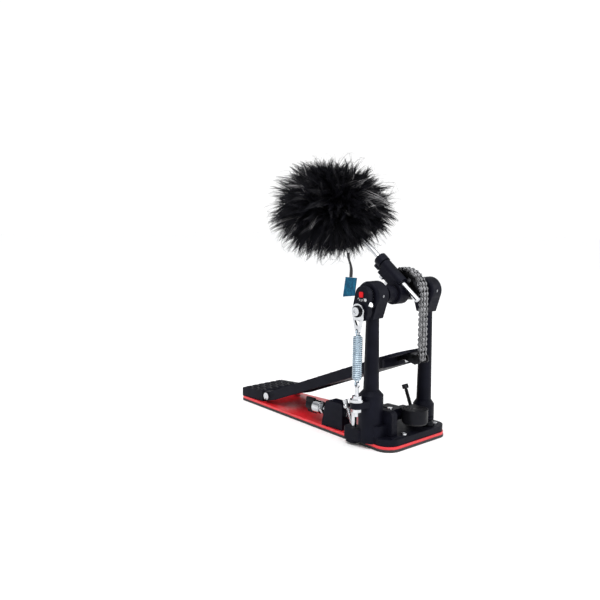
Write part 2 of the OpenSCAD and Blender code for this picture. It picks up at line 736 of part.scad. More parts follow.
module clamp_jaw() {
    ring_step = 3.6;
    color(black) translate([jaw_x, jaw_y, 0]) rotate_extrude()
        polygon(concat(rounded([[0, jaw_bottom], [jaw_r, jaw_bottom], [jaw_r, jaw_top]],
                               [0, 0, 0]),
            [for (i = [0:3]) for (p = [[0.9, 0], [1.2, -0.9], [2.1, -0.9], [2.4, 0]])
                [jaw_r - i * ring_step - p[0], jaw_top + p[1]]],
            [[0, jaw_top]]));
}
module jaw_pad() {
    color([0.05, 0.05, 0.05]) translate([jaw_x, jaw_y, jaw_bottom - 1.8])
        cylinder(h = 1.8, r = jaw_r - 1.5);
}
module clamp_block() {
    color(black) difference() {
        along_x(wing_x - 8.5, wing_x + 8)
            polygon(rounded([[-88, sole_z], [-50, sole_z], [-50, 42], [-80, 42]], [0, 0, 4, 5]));
        translate([wing_x, 0, wing_z]) y_cyl(-100, -40, 4 + run_fit);
    }
}
module clamp_screw() {
    color(chrome) translate([wing_x, 0, wing_z]) {
        y_cyl(-107, -46, 4);
        y_cyl(-107, -95, 8.4);
        y_cyl(-95, -92, 7);
        translate([0, -88.5, 0]) rotate([90, 0, 0]) cylinder(h = 3.5, r = 8.4, $fn = 6);
    }
}
module wing_knob() {
    color(black) translate([wing_x, 0, wing_z]) {
        y_cyl(-121, -107, 6.6);
        for (turn = [12, 192]) rotate([0, turn, 0])
            translate([0, -108, 0]) rotate([90, 0, 0]) linear_extrude(14)
                translate([0, 8.4]) link_2d(2.9, 4.6, 7);
    }
}

// ---------- spurs and key ----------
// Foot of each spur on the floor, and the height of its head along its axis
function spur_foot(side) = side > 0 ? [47, -30.5, 2.6] : [-35, 5.2, 2.6];
spur_len = 43;
module at_spur(side) { translate(spur_foot(side)) rotate([spur_tilt, 0, 0]) children(); }
module spur_hole(side, r) { at_spur(side) translate([0, 0, -20]) cylinder(h = 60, r = r); }
module spur(side) {
    len = side > 0 ? spur_len : spur_len + 14;
    color(chrome) at_spur(side) {
        cylinder(h = 4, r1 = 0.4, r2 = spur_r);
        translate([0, 0, 4]) cylinder(h = len - 4, r = spur_r);
        translate([0, 0, len]) difference() {
            cylinder(h = 6, r = 4.4);
            translate([0, 0, 3]) cylinder(h = 6, r = 2.2, $fn = 6);
        }
    }
}
module spur_right() spur(1);
module spur_left() spur(-1);
module drum_key() {
    color(chrome) translate([key_x, key_y, 0]) difference() {
        union() {
            translate([0, 0, 13]) cylinder(h = 35, r = key_r);
            translate([0, 0, 46]) cylinder(h = 8, r = 4.3);
            translate([0, 0, 50]) x_cyl(-15, 15, 2.3);
            for (x = [-15, 15]) translate([x, 0, 50]) sphere(r = 3);
        }
        translate([-1.8, -1.8, 5]) cube([3.6, 3.6, 18]);
    }
}

sole_rubber();
sole_plate();
sole_screws();
base_casting();
casting_screws();
flange_plug();
right_post();
left_post();
right_housing();
left_housing();
right_bearing();
left_bearing();
housing_screws();
heel_plate();
heel_pin();
spring_bracket();
footboard();
chain_bracket();
bracket_bolts();
drive_shaft();
shaft_collars();
sprocket();
chain_wrap();
chain_link_1();
chain_link_2();
chain_link_3();
chain_link_4();
chain_run();
rocker();
rocker_dot();
rocker_screws();
rocker_pin();
stirrup_bearing();
stirrup();
spring();
tension_rod();
tension_nut();
lock_nut();
beater_hub();
hub_screws();
memory_collar();
beater_rod();
beater_core();
fur_cover();
ribbon();
swing_tag();
clamp_pin();
clamp_lever();
lever_screws();
clamp_jaw();
jaw_pad();
clamp_block();
clamp_screw();
wing_knob();
spur_right();
spur_left();
drum_key();
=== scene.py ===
import json
import math
import random

import bpy
import numpy as np
from mathutils import Matrix, Vector


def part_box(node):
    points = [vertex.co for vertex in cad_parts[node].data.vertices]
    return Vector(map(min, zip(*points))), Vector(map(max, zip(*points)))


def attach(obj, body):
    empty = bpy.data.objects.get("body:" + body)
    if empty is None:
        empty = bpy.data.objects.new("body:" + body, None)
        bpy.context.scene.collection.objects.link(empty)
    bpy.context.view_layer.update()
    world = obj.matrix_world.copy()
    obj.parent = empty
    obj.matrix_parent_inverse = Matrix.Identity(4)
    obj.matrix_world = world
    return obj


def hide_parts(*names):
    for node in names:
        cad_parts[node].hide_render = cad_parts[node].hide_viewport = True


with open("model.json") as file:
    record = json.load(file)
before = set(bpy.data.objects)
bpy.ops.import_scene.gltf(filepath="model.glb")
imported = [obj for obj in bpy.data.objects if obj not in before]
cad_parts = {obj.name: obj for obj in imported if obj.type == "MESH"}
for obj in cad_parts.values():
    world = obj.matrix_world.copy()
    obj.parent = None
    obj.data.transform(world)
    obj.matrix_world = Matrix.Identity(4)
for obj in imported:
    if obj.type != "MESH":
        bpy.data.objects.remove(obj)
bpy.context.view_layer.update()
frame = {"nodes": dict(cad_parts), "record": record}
nodes = frame["nodes"]

MM = 0.001
TAU = 2 * math.pi

# ---------------------------------------------------------------- camera
CAMERA_PLACE = Vector((0.6833, 0.5568, 0.2777))
CAMERA_AZIMUTH = math.radians(137.5)
CAMERA_DROP = math.radians(6.56)
CAMERA_ROLL = math.radians(0.45)
CAMERA_LENS = 41.6


def make_camera():
    """A camera at the front right, a little above the shaft, looking slightly down."""
    back = Vector((math.sin(CAMERA_AZIMUTH) * math.cos(CAMERA_DROP),
                   -math.cos(CAMERA_AZIMUTH) * math.cos(CAMERA_DROP), math.sin(CAMERA_DROP)))
    right = (-back).cross(Vector((0, 0, 1))).normalized()
    up = back.cross(right)
    c, s = math.cos(CAMERA_ROLL), math.sin(CAMERA_ROLL)
    right, up = c * right + s * up, c * up - s * right
    camera = bpy.data.objects.new("camera", bpy.data.cameras.new("camera"))
    bpy.context.scene.collection.objects.link(camera)
    turn = Matrix((right, up, back)).transposed()
    camera.matrix_world = Matrix.Translation(CAMERA_PLACE) @ turn.to_4x4()
    camera.data.lens = CAMERA_LENS
    camera.data.sensor_width = 36
    camera.data.clip_start, camera.data.clip_end = 0.01, 50
    bpy.context.scene.camera = camera


# ---------------------------------------------------------------- materials
# Noise scales are in features per metre, bump depths and edge radii in metres.
def new_material(name):
    material = bpy.data.materials.new(name)
    material.use_nodes = True
    tree = material.node_tree
    shader = next(n for n in tree.nodes if n.type == "BSDF_PRINCIPLED")
    return material, tree, shader


def add_node(tree, kind, inputs=(), **values):
    node = tree.nodes.new(kind)
    for key, value in values.items():
        setattr(node, key, value)
    for key, value in dict(inputs).items():
        node.inputs[key].default_value = value
    return node


def noise(tree, scale, detail=3.0, roughness=0.55, stretch=(1, 1, 1)):
    """Noise over the object's own coordinates."""
    place = add_node(tree, "ShaderNodeTexCoord")
    spread = add_node(tree, "ShaderNodeMapping", {"Scale": stretch})
    tree.links.new(place.outputs["Object"], spread.inputs["Vector"])
    made = add_node(tree, "ShaderNodeTexNoise",
                    {"Scale": scale, "Detail": detail, "Roughness": roughness})
    tree.links.new(spread.outputs["Vector"], made.inputs["Vector"])
    return made.outputs["Fac"]


def ramp(tree, value, stops):
    made = add_node(tree, "ShaderNodeValToRGB")
    points = made.color_ramp.elements
    while len(points) < len(stops):
        points.new(0.5)
    for point, (place, colour) in zip(points, stops):
        point.position = place
        point.color = (*colour, 1)
    tree.links.new(value, made.inputs["Fac"])
    return made.outputs["Color"]


def spread_to(tree, value, low, high):
    made = add_node(tree, "ShaderNodeMapRange",
                    {"From Min": 0.3, "From Max": 0.7, "To Min": low, "To Max": high})
    tree.links.new(value, made.inputs["Value"])
    return made.outputs["Result"]


def add_bump(tree, shader, height, strength, depth, edge=0.0):
    bump = add_node(tree, "ShaderNodeBump", {"Strength": strength, "Distance": depth})
    tree.links.new(height, bump.inputs["Height"])
    if edge:
        bevel = add_node(tree, "ShaderNodeBevel", {"Radius": edge}, samples=4)
        tree.links.new(bevel.outputs["Normal"], bump.inputs["Normal"])
    tree.links.new(bump.outputs["Normal"], shader.inputs["Normal"])


def powder_coat(name, dark, light, rough=(0.42, 0.6), edge=0.0006, grain=2200, strength=0.25):
    material, tree, shader = new_material(name)
    tree.links.new(ramp(tree, noise(tree, 60, 5), [(0.3, dark), (0.7, light)]),
                   shader.inputs["Base Color"])
    tree.links.new(spread_to(tree, noise(tree, 240, 4), *rough), shader.inputs["Roughness"])
    shader.inputs["Specular IOR Level"].default_value = 0.1
    shader.inputs["Specular Tint"].default_value = (0.8, 0.85, 1.0, 1)
    add_bump(tree, shader, noise(tree, grain, 2), strength, 0.0001, edge)
    return material


def metal(name, dark, light, rough=(0.06, 0.16), edge=0.0003, grain=500, strength=0.05,
          stretch=(1, 1, 1)):
    material, tree, shader = new_material(name)
    tree.links.new(ramp(tree, noise(tree, 140, 4), [(0.3, dark), (0.7, light)]),
                   shader.inputs["Base Color"])
    tree.links.new(spread_to(tree, noise(tree, 320, 3, stretch=stretch), *rough),
                   shader.inputs["Roughness"])
    shader.inputs["Metallic"].default_value = 1
    add_bump(tree, shader, noise(tree, grain, 2, stretch=stretch), strength, 0.00005, edge)
    return material


def red_paint():
    material, tree, shader = new_material("red_plate")
    colour = ramp(tree, noise(tree, 45, 5),
                  [(0.3, (0.60, 0.006, 0.013)), (0.7, (0.76, 0.02, 0.03))])
    tree.links.new(colour, shader.inputs["Base Color"])
    tree.links.new(spread_to(tree, noise(tree, 260, 4), 0.3, 0.46), shader.inputs["Roughness"])
    shader.inputs["Coat Weight"].default_value = 0.2
    shader.inputs["Coat Roughness"].default_value = 0.2
    add_bump(tree, shader, noise(tree, 900, 2), 0.12, 0.0001, 0.0005)
    return material


def ribbed_rubber():
    material, tree, shader = new_material("sole_rubber")
    tree.links.new(ramp(tree, noise(tree, 120, 5),
                        [(0.3, (0.012, 0.012, 0.013)), (0.7, (0.03, 0.03, 0.032))]),
                   shader.inputs["Base Color"])
    tree.links.new(spread_to(tree, noise(tree, 400, 3), 0.65, 0.85), shader.inputs["Roughness"])
    place = add_node(tree, "ShaderNodeTexCoord")
    ribs = add_node(tree, "ShaderNodeTexWave", {"Scale": 60, "Distortion": 0.4, "Detail": 1})
    ribs.bands_direction = "DIAGONAL"
    tree.links.new(place.outputs["Object"], ribs.inputs["Vector"])
    add_bump(tree, shader, ribs.outputs["Fac"], 0.5, 0.0004, 0.0004)
    return material


def card_material():
    """Blue-green card with a soft cloudy print and a fibrous grain."""
    material, tree, shader = new_material("tag_card")
    colour = ramp(tree, noise(tree, 230, 6, 0.7), [
        (0.32, (0.002, 0.035, 0.075)), (0.5, (0.003, 0.07, 0.14)), (0.68, (0.012, 0.16, 0.27))])
    shader.inputs["Specular IOR Level"].default_value = 0.15
    tree.links.new(colour, shader.inputs["Base Color"])
    tree.links.new(spread_to(tree, noise(tree, 600, 3), 0.5, 0.75), shader.inputs["Roughness"])
    add_bump(tree, shader, noise(tree, 3000, 3), 0.3, 0.0001, 0.0002)
    return material


def ribbon_material():
    material, tree, shader = new_material("ribbon")
    tree.links.new(ramp(tree, noise(tree, 500, 3),
                        [(0.3, (0.006, 0.006, 0.007)), (0.7, (0.022, 0.022, 0.026))]),
                   shader.inputs["Base Color"])
    tree.links.new(spread_to(tree, noise(tree, 900, 2), 0.35, 0.55), shader.inputs["Roughness"])
    add_bump(tree, shader, noise(tree, 4000, 2, stretch=(1, 1, 0.1)), 0.4, 0.0001)
    return material


def fur_material():
    """Near-black hair, a little lighter at the tips, with some greyer locks and painted
    highlights, pale at mid-length, on locks in a few patches.
    """
    material, tree, shader = new_material("fur")
    look = add_node(tree, "ShaderNodeAttribute", attribute_name="hair_look")
    split = add_node(tree, "ShaderNodeSeparateColor")
    tree.links.new(look.outputs["Color"], split.inputs["Color"])
    along = ramp(tree, split.outputs["Green"], [
        (0.0, (0.0008, 0.0008, 0.0012)), (0.55, (0.003, 0.003, 0.0048)),
        (1.0, (0.007, 0.007, 0.011))])
    # Colour the lightened hairs mix toward: a painted highlight, near white at mid-length, which
    # gives only a grey tone where the mix is small.
    tone_and_highlight = ramp(tree, split.outputs["Green"], [
        (0.12, (0.006, 0.006, 0.008)), (0.4, (0.40, 0.39, 0.40)), (0.85, (0.95, 0.94, 0.95)),
        (1.0, (0.30, 0.29, 0.30))])
    mix = add_node(tree, "ShaderNodeMix", data_type="RGBA")
    tree.links.new(split.outputs["Red"], mix.inputs["Factor"])
    tree.links.new(along, mix.inputs["A"])
    tree.links.new(tone_and_highlight, mix.inputs["B"])
    tree.links.new(mix.outputs["Result"], shader.inputs["Base Color"])
    tree.links.new(spread_to(tree, noise(tree, 160, 3), 0.34, 0.6), shader.inputs["Roughness"])
    shader.inputs["Specular IOR Level"].default_value = 0.12
    return material


def felt_material():
    material, tree, shader = new_material("core_felt")
    tree.links.new(ramp(tree, noise(tree, 500, 6, 0.7),
                        [(0.3, (0.35, 0.32, 0.26)), (0.7, (0.6, 0.57, 0.48))]),
                   shader.inputs["Base Color"])
    tree.links.new(spread_to(tree, noise(tree, 900, 3), 0.85, 0.98), shader.inputs["Roughness"])
    add_bump(tree, shader, noise(tree, 2500, 4), 0.8, 0.0004)
    return material


def make_materials():
    """One material for each slot of the record."""
    return {
        "black_coat": powder_coat("black_coat", (0.0022, 0.0022, 0.0045), (0.005, 0.005, 0.010)),
        "jaw_plastic": powder_coat("jaw_plastic", (0.004, 0.004, 0.005), (0.009, 0.009, 0.011),
                                   (0.32, 0.5), 0.0004, 1500, 0.12),
        "bearing_black": powder_coat("bearing_black", (0.002, 0.002, 0.003),
                                     (0.004, 0.004, 0.005), (0.12, 0.25), 0.0003, 900, 0.05),
        "red_plate": red_paint(),
        "sole_rubber": ribbed_rubber(),
        "chrome": metal("chrome", (0.46, 0.47, 0.49), (0.62, 0.63, 0.65)),
        "zinc_screw": metal("zinc_screw", (0.45, 0.46, 0.48), (0.6, 0.61, 0.63), (0.25, 0.4)),
        "bearing_steel": metal("bearing_steel", (0.4, 0.41, 0.43), (0.55, 0.56, 0.58),
                               (0.2, 0.35)),
        "dark_steel": metal("dark_steel", (0.02, 0.02, 0.022), (0.05, 0.05, 0.055),
                            (0.3, 0.45), 0.0003),
        "chain_steel": metal("chain_steel", (0.15, 0.15, 0.155), (0.34, 0.34, 0.35),
                             (0.18, 0.36), 0.0001, 900, 0.15),
        "spring_zinc": metal("spring_zinc", (0.30, 0.38, 0.45), (0.48, 0.57, 0.64),
                             (0.2, 0.34), 0.0, 800, 0.1),
        "red_dot": powder_coat("red_dot", (0.5, 0.008, 0.01), (0.62, 0.015, 0.02), (0.25, 0.4),
                               0.0003, 600, 0.05),
        "core_felt": felt_material(),
        "fur": fur_material(),
        "ribbon": ribbon_material(),
        "tag_card": card_material(),
    }


def dress_cad_nodes(materials):
    """Every CAD node takes the material of its slot in the record."""
    for row in frame["record"]["subparts"]:
        mesh = nodes[row["node"]].data
        mesh.materials.clear()
        mesh.materials.append(materials[row["material_slot"]])


# ---------------------------------------------------------------- mesh helpers
def make_object(name, points, faces, material, body, smooth=True):
    """A piece made of points and faces, riding on a body of the part."""
    mesh = bpy.data.meshes.new(name)
    mesh.from_pydata([tuple(p) for p in points], [], faces)
    mesh.validate()
    mesh.materials.append(material)
    if smooth:
        mesh.shade_smooth()
    made = bpy.data.objects.new(name, mesh)
    bpy.context.scene.collection.objects.link(made)
    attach(made, body)
    return made


def smooth_by_angle(made, degrees=38):
    """Rounds the shading except across edges sharper than the angle."""
    mesh = made.data
    mesh.shade_smooth()
    mesh.set_sharp_from_angle(angle=math.radians(degrees))


def node_centre(name):
    """Centre and half size of a CAD node's box."""
    low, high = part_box(name)
    return (low + high) / 2, (high - low) / 2


class Shape:
    """Points and faces collected from several closed forms."""

    def __init__(self):
        self.points = []
        self.faces = []

    def loops(self, rings):
        """Closed rings of equal length joined in order, with flat ends."""
        start, n = len(self.points), len(rings[0])
        for ring in rings:
            self.points.extend(Vector(p) for p in ring)
        for i in range(len(rings) - 1):
            for j in range(n):
                a, b = start + i * n + j, start + i * n + (j + 1) % n
                self.faces.append((a, b, b + n, a + n))
        last = start + (len(rings) - 1) * n
        self.faces.append(tuple(range(start + n - 1, start - 1, -1)))
        self.faces.append(tuple(range(last, last + n)))

    def move(self, matrix):
        self.points = [matrix @ p for p in self.points]

    def add(self, other, matrix):
        """Another shape's forms, moved by the matrix."""
        start = len(self.points)
        self.points.extend(matrix @ p for p in other.points)
        self.faces.extend(tuple(start + i for i in f) for f in other.faces)


def sweep(shape, path, radii, sides=10, first=Vector((1, 0, 0))):
    """A round tube along a path, its frame carried along without twisting."""
    rings = []
    side = first
    for i, p in enumerate(path):
        ahead = (path[min(i + 1, len(path) - 1)] - path[max(i - 1, 0)]).normalized()
        side = (side - ahead * side.dot(ahead)).normalized()
        other = ahead.cross(side)
        rings.append([p + radii[i] * (math.cos(TAU * k / sides) * side
                                      + math.sin(TAU * k / sides) * other)
                      for k in range(sides)])
    shape.loops(rings)


def turned(shape, profile, sides=32):
    """A closed turned form about Z from (radius, height) pairs, its end radii above zero."""
    shape.loops([[Vector((r * math.cos(TAU * k / sides), r * math.sin(TAU * k / sides), z))
                  for k in range(sides)] for r, z in profile])


def threaded(shape, low, high, radius, pitch, depth, sides=20):
    """A threaded rod along Z, with a rounded ridge that climbs one pitch a turn."""
    rings_per_pitch = 6
    steps = int((high - low) / pitch * rings_per_pitch)
    rings = []
    for i in range(steps + 1):
        z = low + (high - low) * i / steps
        fade = min(1.0, (z - low) / pitch, (high - z) / pitch)
        ring = []
        for k in range(sides):
            phase = (z / pitch - k / sides) % 1.0
            ridge = abs(2 * phase - 1)
            r = radius - depth * (1 - ridge * max(fade, 0))
            ring.append(Vector((r * math.cos(TAU * k / sides), r * math.sin(TAU * k / sides), z)))
        rings.append(ring)
    shape.loops(rings)


# ---------------------------------------------------------------- fur ball
FUR_STEPS = 6
FUR_SIDES = 3
PER_HAIR = (FUR_STEPS + 1) * FUR_SIDES
FUR_TIP_R = 0.00003
FUR_SAG = 0.18
FUR_SEED = 11
DRIFT_SEED = 20
# The patches are where the fur gets painted highlights: many locks there are made nearly white.
HIGHLIGHT_PATCH_SEED = 31
HIGHLIGHT_PATCH_LIMIT = 0.6
# Where the hair is longest and where it parts, as directions from the middle of the ball
FUR_FULL_SIDE = (0.70, -0.62, -0.35)
FUR_PARTING = (0.62, 0.72, -0.30)
# For each set of locks: how many, hairs in a lock, root height as a share of the ball's radius,
# length in metres, scatter of direction, hair radius, share of locks lightened for grey tone and
# painted highlight, bow, gap between hairs at the root, and how much shorter the locks are below
HAIR_SETS = (
    dict(count=1150, per=17, base=0.60, length=0.037, spread=0.17, thick=0.00034,
         tone_and_highlight_share=0.13, curl=0.45, gather=0.0034, under=0.45),
    dict(count=800, per=9, base=0.50, length=0.036, spread=0.26, thick=0.00045,
         tone_and_highlight_share=0.0, curl=0.4, gather=0.0032, under=0.45),
    dict(count=420, per=2, base=0.72, length=0.041, spread=0.34, thick=0.00017,
         tone_and_highlight_share=0.0, curl=0.9, gather=0.0014, under=0.15),
)


def unit_rows(rows):
    return rows / np.maximum(np.linalg.norm(rows, axis=1), 1e-9)[:, None]


def unit_row(row):
    return unit_rows(np.array([row]))[0]


def lumps(rng, out, count, frequency):
    """Smooth random values about zero over the directions in `out`."""
    ways = rng.normal(0, frequency, (count, 3))
    turns = rng.uniform(0, TAU, count)
    return np.sin(out @ ways.T + turns).mean(1) * 2


def lock_directions(rng, count, spread):
    """Where each lock starts on the unit ball, its nearness to the parting, and its way."""
    parting = unit_row(FUR_PARTING)
    k = np.arange(count) + 0.5
    lift = 1 - 2 * k / count
    turn = k * math.pi * (3 - math.sqrt(5))
    flat = np.sqrt(1 - lift ** 2)
    out = np.stack([flat * np.cos(turn), flat * np.sin(turn), lift], 1)
    out = unit_rows(out + rng.normal(0, 0.06, out.shape))
    along = out @ parting
    away = out - along[:, None] * parting
    size = np.linalg.norm(away, axis=1)[:, None]
    away = away / np.maximum(size, 1e-3) * np.minimum(size / 0.35, 1)
    drift = np.stack([lumps(np.random.default_rng(DRIFT_SEED + i), out, 5, 3.2)
                      for i in range(3)], 1)
    comb = out * 0.72 + away * 0.5 + drift * 0.28 + rng.normal(0, spread, out.shape)
    comb[:, 2] -= 0.08
    return out, along, unit_rows(comb)


def lock_lengths(rng, out, length, under):
    """Longest on the full side, shorter opposite it and below."""
    long = length * rng.uniform(0.6, 1.25, len(out)) * (1 + 0.16 * lumps(rng, out, 6, 4.5))
    side = out @ unit_row(FUR_FULL_SIDE)
    long *= 1 + 0.36 * np.maximum(side, 0) ** 2 - 0.16 * np.maximum(-side, 0)
    return long * (1 - under * np.maximum(-out[:, 2], 0) ** 1.5)


def lock_tones_and_highlights(rng, out, along, tone_and_highlight_share):
    """How light each lock is: a few greyed a little at random, and inside a few patches more of
    them, much paler, as a painted highlight.
    """
    # Inside the patches the pale locks are painted highlights; outside them only a slight grey
    # tone.
    highlight_patch = lumps(np.random.default_rng(HIGHLIGHT_PATCH_SEED), out, 6, 5.0) > HIGHLIGHT_PATCH_LIMIT
    chosen = rng.random(len(out)) < np.where(highlight_patch, tone_and_highlight_share * 5, tone_and_highlight_share)
    return chosen * (along > -0.3) * np.where(
        highlight_patch, rng.uniform(0.6, 1.0, len(out)), rng.uniform(0.02, 0.16, len(out)))


def hair_set(rng, centre, half, count, per, base, length, spread, thick, tone_and_highlight_share, curl,
             gather, under):
    """Roots, directions, bows, lengths, grey tones and painted highlights, offsets and widths,
    one row for each hair.
    """
    out, along, comb = lock_directions(rng, count, spread)
    root = centre + out * half * base
    long = lock_lengths(rng, out, length, under)
    # How much each lock is lightened: a grey tone, and a painted highlight in the patches.
    tone_and_highlight = lock_tones_and_highlights(rng, out, along, tone_and_highlight_share)
    bend = unit_rows(np.cross(comb, rng.normal(0, 1, comb.shape)))
    bow = bend * rng.uniform(0.1, curl, count)[:, None]
    root, comb, bow = (np.repeat(x, per, 0) for x in (root, comb, bow))
    hairs = count * per
    long = np.repeat(long, per) * rng.uniform(0.62, 1.05, hairs)
    tone_and_highlight = np.repeat(tone_and_highlight, per) * rng.uniform(0.1, 1.0, hairs) * (rng.random(hairs) < 0.55)
    offset = rng.normal(0, 1, root.shape)
    offset -= (offset * comb).sum(1)[:, None] * comb
    return root, comb, bow, long, tone_and_highlight, offset * gather, thick * rng.uniform(0.6, 1.4, hairs)


def hair_spines(centre, half, t, root, comb, bow, long, offset):
    """Middle line of each hair: it bows, sags, and stays inside the ball's outer limit."""
    spine = (root[:, None] + offset[:, None] * (1 - 0.88 * t[None, :, None] ** 0.9)
             + comb[:, None] * (long[:, None] * t)[:, :, None]
             + bow[:, None] * (long[:, None] * t ** 2)[:, :, None]
             + np.array((0, 0, -FUR_SAG)) * (long[:, None] * t ** 2)[:, :, None])
    toward = spine - centre
    toward = toward / np.maximum(np.linalg.norm(toward, axis=2), 1e-9)[:, :, None]
    reach = 1.13 + 0.10 * np.maximum(toward @ unit_row(FUR_FULL_SIDE), 0)
    far = np.linalg.norm((spine - centre) / (half * reach[:, :, None]), axis=2)
    squeeze = np.where(far > 1, 1 / far, 1.0)
    return centre + (spine - centre) * squeeze[:, :, None]


def hair_points(spine, t, wide):
    """Corner points of a thin tapered tube around each middle line."""
    ahead = np.gradient(spine, axis=1)
    ahead /= np.maximum(np.linalg.norm(ahead, axis=2), 1e-9)[:, :, None]
    side = np.cross(ahead, np.array((0.31, -0.52, 0.79)))
    side /= np.maximum(np.linalg.norm(side, axis=2), 1e-9)[:, :, None]
    other = np.cross(ahead, side)
    thick = wide[:, None] * (1 - t) ** 0.7 + FUR_TIP_R
    rings = []
    for k in range(FUR_SIDES):
        a = TAU * k / FUR_SIDES
        rings.append(spine + thick[:, :, None] * (math.cos(a) * side + math.sin(a) * other))
    return np.stack(rings, 2).reshape(-1, 3)


def hair_faces(hairs):
    """Quads around every hair, and a triangle at each of its ends."""
    one = []
    for i in range(FUR_STEPS):
        for k in range(FUR_SIDES):
            a = i * FUR_SIDES + k
            b = i * FUR_SIDES + (k + 1) % FUR_SIDES
            one.append((a, b, b + FUR_SIDES, a + FUR_SIDES))
    first = (np.arange(hairs) * PER_HAIR)[:, None, None]
    quads = (np.array(one)[None] + first).reshape(-1, 4)
    ends = np.array([[2, 1, 0], [PER_HAIR - 3, PER_HAIR - 2, PER_HAIR - 1]])
    return quads, (ends[None] + first).reshape(-1, 3)


def hair_mesh(points, quads, caps):
    mesh = bpy.data.meshes.new("fur")
    mesh.vertices.add(len(points))
    mesh.vertices.foreach_set("co", points.astype(np.float32).ravel())
    corners = np.concatenate([quads.ravel(), caps.ravel()])
    sizes = np.concatenate([np.full(len(quads), 4), np.full(len(caps), 3)])
    starts = np.concatenate([[0], np.cumsum(sizes)[:-1]])
    mesh.loops.add(len(corners))
    mesh.loops.foreach_set("vertex_index", corners.astype(np.int32))
    mesh.polygons.add(len(sizes))
    mesh.polygons.foreach_set("loop_start", starts.astype(np.int32))
    mesh.polygons.foreach_set("loop_total", sizes.astype(np.int32))
    mesh.update(calc_edges=True)
    mesh.shade_smooth()
    return mesh


def make_fur(materials):
    """Hair locks that radiate from a parting on the side facing front right and below."""
    rng = np.random.default_rng(FUR_SEED)
    centre, half = (np.array(v) for v in node_centre("fur_cover"))
    sets = [hair_set(rng, centre, half, **values) for values in HAIR_SETS]
    root, comb, bow, long, tone_and_highlight, offset, wide = (np.concatenate(x) for x in zip(*sets))
    t = np.linspace(0, 1, FUR_STEPS + 1)
    spine = hair_spines(centre, half, t, root, comb, bow, long, offset)
    mesh = hair_mesh(hair_points(spine, t, wide), *hair_faces(len(root)))
    # red is how far the hair is lightened, a little for grey tone and much for a painted
    # highlight, green is the way along it from root to tip
    look = mesh.color_attributes.new("hair_look", "FLOAT_COLOR", "POINT")
    colour = np.ones((len(root), FUR_STEPS + 1, FUR_SIDES, 4), np.float32)
    colour[..., 0] = tone_and_highlight[:, None, None]
    colour[..., 1] = t[None, :, None]
    colour[..., 2] = 0
    look.data.foreach_set("color", colour.ravel())
    mesh.materials.append(materials["fur"])
    fur = bpy.data.objects.new("fur_locks", mesh)
    bpy.context.scene.collection.objects.link(fur)
    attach(fur, "beater")
    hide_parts("fur_cover")
    make_under_fur(materials, centre, half)


UNDER_R = 0.60
UNDER_LUMP = 0.05
UNDER_BANDS = 36
UNDER_SIDES = 64


def make_under_fur(materials, centre, half):
    """The dark undercoat that the locks grow from, lumpy and closed."""
    rng = random.Random(4)
    waves = [(Vector((rng.uniform(-1, 1), rng.uniform(-1, 1), rng.uniform(-1, 1))) * 9,
              rng.uniform(0, TAU)) for _ in range(7)]
    shape = Shape()
    rings = []
    for i in range(UNDER_BANDS + 1):
        a = math.pi * (0.02 + 0.96 * i / UNDER_BANDS) - math.pi / 2
        ring = []
        for k in range(UNDER_SIDES):
            b = TAU * k / UNDER_SIDES
            d = Vector((math.cos(a) * math.cos(b), math.cos(a) * math.sin(b), math.sin(a)))
            lump = sum(math.sin(w.dot(d) + f) for w, f in waves) / len(waves)
            r = UNDER_R + UNDER_LUMP * lump
            ring.append(Vector((centre[0] + d.x * half[0] * r, centre[1] + d.y * half[1] * r,
                                centre[2] + d.z * half[2] * r)))
        rings.append(ring)
    shape.loops(rings)
    under = make_object("under_fur", shape.points, shape.faces, materials["fur"], "beater")
    look = under.data.color_attributes.new("hair_look", "FLOAT_COLOR", "POINT")
    look.data.foreach_set("color", np.tile(np.array((0, 0, 0, 1), np.float32),
                                           len(under.data.vertices)))


# ---------------------------------------------------------------- chain
TEETH = 29
PITCH = 6.35 * MM
PITCH_R = PITCH / (2 * math.sin(math.pi / TEETH))
PITCH_ANGLE = TAU / TEETH
LOOSE_LINKS = 4
WRAPPED_LINKS = range(LOOSE_LINKS, 9)
RUN_LINKS = 13
PLATE_R = 2.75 * MM
WAIST = 1.95 * MM
PLATE_EDGE = 0.18 * MM
OUTER_PLATES = [(-6.5, -5.5), (-0.6, 0.6), (5.5, 6.5)]
INNER_PLATES = [(-5.3, -4.2), (-1.9, -0.8), (0.8, 1.9), (4.2, 5.3)]
RIVET_R = 1.15 * MM
RIVET_END = 7.0 * MM
RIVET_TIP = 0.35 * MM
ROLLER_R = 1.65 * MM
ROLLER_HALF = 1.1 * MM
ROLLER_X = 3.05
ACROSS = Matrix.Rotation(math.pi / 2, 4, "Y")


def link_outline(inset):
    """Waisted outline of a link plate in Y and Z, its upper joint at the origin."""
    r = PLATE_R - inset
    steps = 9
    right = []
    for i in range(steps + 1):
        a = math.pi / 2 - (math.pi * 0.80) * i / steps
        right.append((r * math.cos(a), r * math.sin(a)))
    low = [(y, -PITCH - z) for y, z in reversed(right)]
    side = right + [(WAIST - inset, -PITCH / 2)] + low
    return side + [(-y, z) for y, z in reversed(side[1:-1])]


def rivet_shape():
    """A link pin with domed ends, along Z."""
    rivet = Shape()
    r, end, tip = RIVET_R, RIVET_END, RIVET_TIP
    turned(rivet, [(r * 0.3, -end), (r * 0.8, -end + tip * 0.4), (r, -end + tip),
                   (r, end - tip), (r * 0.8, end - tip * 0.4), (r * 0.3, end)], 14)
    return rivet


def roller_shape():
    roller = Shape()
    w, r = ROLLER_HALF, ROLLER_R
    turned(roller, [(r * 0.9, -w), (r, -w * 0.8), (r, w * 0.8), (r * 0.9, w)], 16)
    return roller


